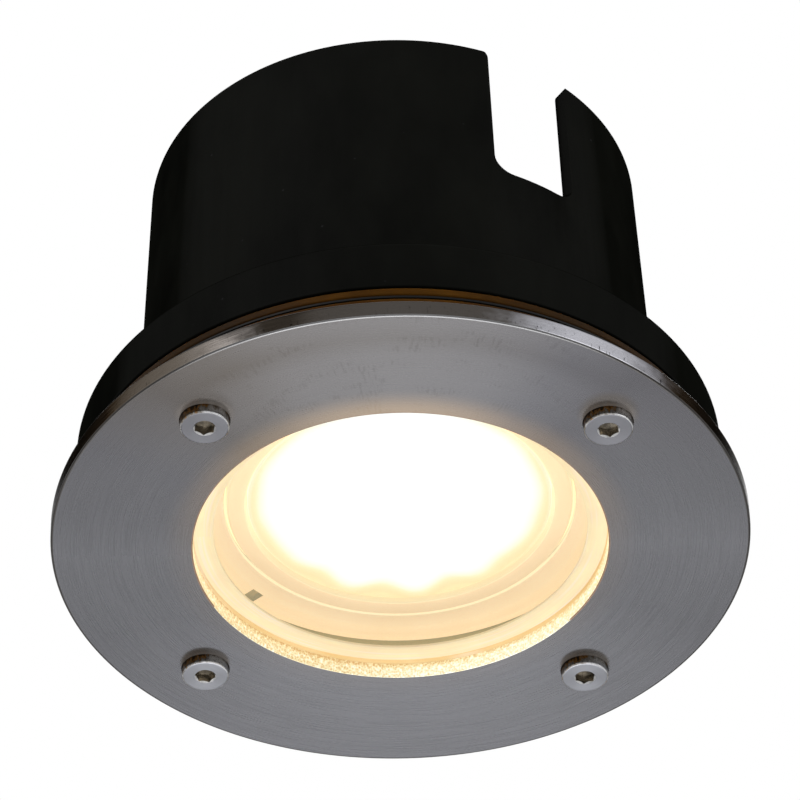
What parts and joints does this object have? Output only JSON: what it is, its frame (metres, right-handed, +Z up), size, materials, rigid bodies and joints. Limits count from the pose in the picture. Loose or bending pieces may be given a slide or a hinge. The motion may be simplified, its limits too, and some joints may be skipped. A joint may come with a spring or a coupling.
{
  "type": "recessed downlight",
  "caption": "Round sealed recessed downlight: brushed steel bezel, flat glass front, disc lamp in a steel pot, and a black mounting canister with cable slots.",
  "frame": {"origin": "on the light's axis, in the plane of the ceiling's underside, where the bezel's back bears", "axes": "+Z up the axis into the ceiling, towards the canister's open rim; the bezel faces -Z"},
  "size_m": [0.15, 0.15, 0.1021],
  "materials": {
    "brushed_stainless": "circular brushed",
    "polished_stainless": "bright turned",
    "pale_silicone": "translucent, smooth",
    "amber_silicone": "translucent, smooth",
    "clear_glass": "clear, polished",
    "black_enamel": "semi-gloss black",
    "black_moulding": "semi-gloss black moulding",
    "brass": "turned",
    "white_moulding": "fine texture",
    "opal": "opal, lit from behind",
    "white_board": "white solder mask",
    "pressed_aluminium": "plain",
    "green_board": "green solder mask",
    "capacitor_sleeve": "shrunk sleeve",
    "coil_tape": "wound tape",
    "nickel": "nickel plated",
    "zinc_plate": "zinc plated",
    "cream_moulding": "moulded",
    "bronze": "rolled spring strip",
    "tinned_copper": "tinned",
    "brown_insulation": "extruded",
    "blue_insulation": "extruded",
    "green_insulation": "extruded, with a yellow stripe",
    "black_rubber": "moulded"
  },
  "bodies": {
    "canister": {"mounting_canister": "black_moulding", "thread_insert_1": "brass", "thread_insert_2": "brass", "thread_insert_3": "brass", "thread_insert_4": "brass"},
    "insert": {"lamp_housing": "black_enamel", "flange_gasket": "amber_silicone", "lamp_surround": "white_moulding", "mounting_plate": "zinc_plate", "plate_pillar_1": "brass", "plate_pillar_2": "brass", "plate_pillar_3": "brass", "pillar_screw_1": "zinc_plate", "pillar_screw_2": "zinc_plate", "pillar_screw_3": "zinc_plate", "lamp_holder": "cream_moulding", "holder_contact_1": "bronze", "holder_contact_2": "bronze", "holder_screw_1": "zinc_plate", "holder_screw_2": "zinc_plate", "terminal_block": "cream_moulding", "terminal_clamp_1": "brass", "terminal_clamp_2": "brass", "terminal_clamp_3": "brass", "terminal_screw_1": "zinc_plate", "terminal_screw_2": "zinc_plate", "terminal_screw_3": "zinc_plate", "block_screw": "zinc_plate", "earth_tag": "tinned_copper", "earth_screw": "zinc_plate", "live_lead": "brown_insulation", "neutral_lead": "blue_insulation", "earth_lead": "green_insulation", "gland_body": "nickel", "gland_washer": "black_rubber", "gland_locknut": "nickel", "gland_insert": "black_rubber"},
    "gland_nut": {"gland_nut": "nickel"},
    "trim": {"bezel_ring": "brushed_stainless", "glass_gasket": "pale_silicone", "glass_disc": "clear_glass"},
    "screw_1": {"bezel_screw_1": "polished_stainless"},
    "screw_2": {"bezel_screw_2": "polished_stainless"},
    "screw_3": {"bezel_screw_3": "polished_stainless"},
    "screw_4": {"bezel_screw_4": "polished_stainless"},
    "lamp": {"lamp_case": "white_moulding", "lamp_diffuser": "opal", "led_board": "white_board", "lamp_heat_sink": "pressed_aluminium", "driver_board": "green_board", "capacitor": "capacitor_sleeve", "coil": "coil_tape", "lamp_pin_1": "nickel", "lamp_pin_2": "nickel"}
  },
  "joints": [
    {"name": "insert_out", "type": "slide", "parent": "canister", "child": "insert", "axis": [0, 0, -1], "range_m": [0, 0.1]},
    {"name": "trim_off", "type": "slide", "parent": "insert", "child": "trim", "axis": [0, 0, -1], "range_m": [0, 0.06]},
    {"name": "screw_1_out", "type": "slide", "parent": "trim", "child": "screw_1", "axis": [0, 0, -1], "range_m": [0, 0.02]},
    {"name": "screw_2_out", "type": "slide", "parent": "trim", "child": "screw_2", "axis": [0, 0, -1], "range_m": [0, 0.02]},
    {"name": "screw_3_out", "type": "slide", "parent": "trim", "child": "screw_3", "axis": [0, 0, -1], "range_m": [0, 0.02]},
    {"name": "screw_4_out", "type": "slide", "parent": "trim", "child": "screw_4", "axis": [0, 0, -1], "range_m": [0, 0.02]},
    {"name": "lamp_twist", "type": "hinge", "parent": "insert", "child": "lamp", "pos_m": [0, 0, 0.031], "axis": [0, 0, 1], "range_deg": [-15, 0]},
    {"name": "gland_nut_turn", "type": "hinge", "parent": "insert", "child": "gland_nut", "pos_m": [0, 0, 0.081], "axis": [0, 0, 1], "range_deg": [0, 360]}
  ]
}
